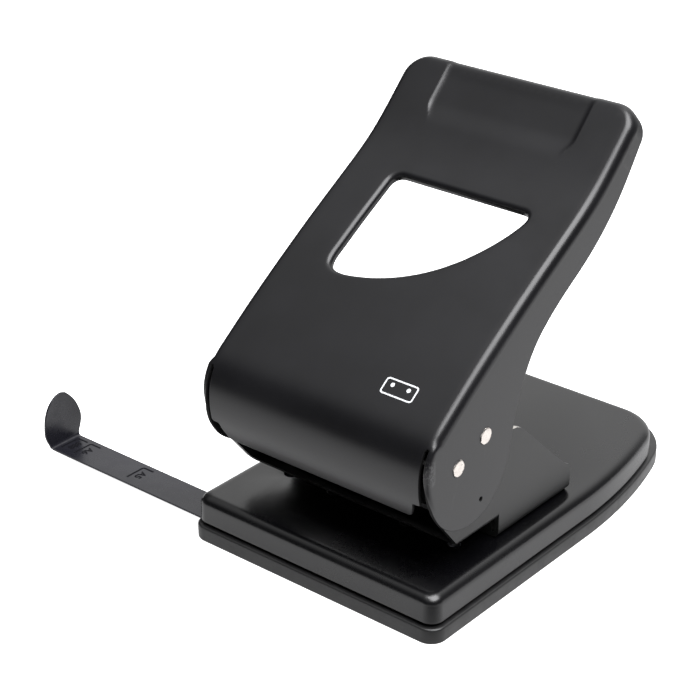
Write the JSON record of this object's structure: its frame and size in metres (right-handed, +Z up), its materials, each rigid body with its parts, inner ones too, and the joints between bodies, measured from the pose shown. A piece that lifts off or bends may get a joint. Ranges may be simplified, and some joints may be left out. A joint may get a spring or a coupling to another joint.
{
  "type": "heavy-duty two-hole paper punch",
  "caption": "Desk paper punch with a long pressed-steel hand lever, sprung punch pins in a folded steel frame, a sliding paper guide and an opening chip tray.",
  "frame": {"origin": "on the tray's flat underside, on the mid-plane, straight below the line joining the two punch pins", "axes": "+Z up, +X to the right across the punch, +Y from the paper side towards the rear of the base"},
  "size_m": [0.2036, 0.1844, 0.1667],
  "materials": {
    "black_paint": "satin black powder coat",
    "frame_paint": "satin black powder coat",
    "tray_plastic": "fine textured black moulding",
    "guide_plastic": "satin dark grey strip",
    "nickel_rod": "bright nickel, turned ends",
    "zinc_plate": "zinc-plated sheet",
    "zinc_fastener": "zinc-plated fastener",
    "pin_steel": "ground hardened steel",
    "spring_steel": "oiled spring wire"
  },
  "bodies": {
    "base": {"base_pan": "black_paint", "die_plate": "zinc_plate", "die_rivet_left": "zinc_fastener", "die_rivet_right": "zinc_fastener", "punch_frame": "frame_paint", "frame_rivet_front_left": "zinc_fastener", "frame_rivet_front_right": "zinc_fastener", "frame_rivet_rear_left": "zinc_fastener", "frame_rivet_rear_right": "zinc_fastener", "pin_guide_bridge": "zinc_plate", "spring_shield": "frame_paint", "return_spring_left": "spring_steel", "return_spring_right": "spring_steel", "guide_rail": "tray_plastic", "guide_screw_left": "zinc_fastener", "guide_screw_right": "zinc_fastener"},
    "lever": {"lever": "black_paint", "lever_axle": "nickel_rod", "press_bar": "nickel_rod", "axle_washer_left": "zinc_fastener", "axle_washer_right": "zinc_fastener"},
    "pin_left": {"punch_pin_left": "pin_steel", "retaining_clip_left": "spring_steel", "spring_cup_left": "zinc_fastener"},
    "pin_right": {"punch_pin_right": "pin_steel", "retaining_clip_right": "spring_steel", "spring_cup_right": "zinc_fastener"},
    "paper_guide": {"paper_guide": "guide_plastic"},
    "chip_tray": {"chip_tray": "tray_plastic"}
  },
  "joints": [
    {"name": "lever_hinge", "type": "hinge", "parent": "base", "child": "lever", "pos_m": [0, -0.0172, 0.0629], "axis": [-1, 0, 0], "range_deg": [0, 42]},
    {"name": "pin_left_slide", "type": "slide", "parent": "base", "child": "pin_left", "axis": [0, 0, -1], "range_m": [0, 0.0123], "deforming": ["return_spring_left"]},
    {"name": "pin_right_slide", "type": "slide", "parent": "base", "child": "pin_right", "axis": [0, 0, -1], "range_m": [0, 0.0123], "deforming": ["return_spring_right"]},
    {"name": "paper_guide_slide", "type": "slide", "parent": "base", "child": "paper_guide", "axis": [1, 0, 0], "range_m": [-0.007, 0.079]},
    {"name": "chip_tray_hinge", "type": "hinge", "parent": "base", "child": "chip_tray", "pos_m": [0, -0.0368, 0.0069], "axis": [-1, 0, 0], "range_deg": [0, 60]}
  ],
  "couplings": [
    {"joint": "pin_left_slide", "follows": "lever_hinge", "m_per_rad": 0.01665},
    {"joint": "pin_right_slide", "follows": "lever_hinge", "m_per_rad": 0.01665}
  ]
}
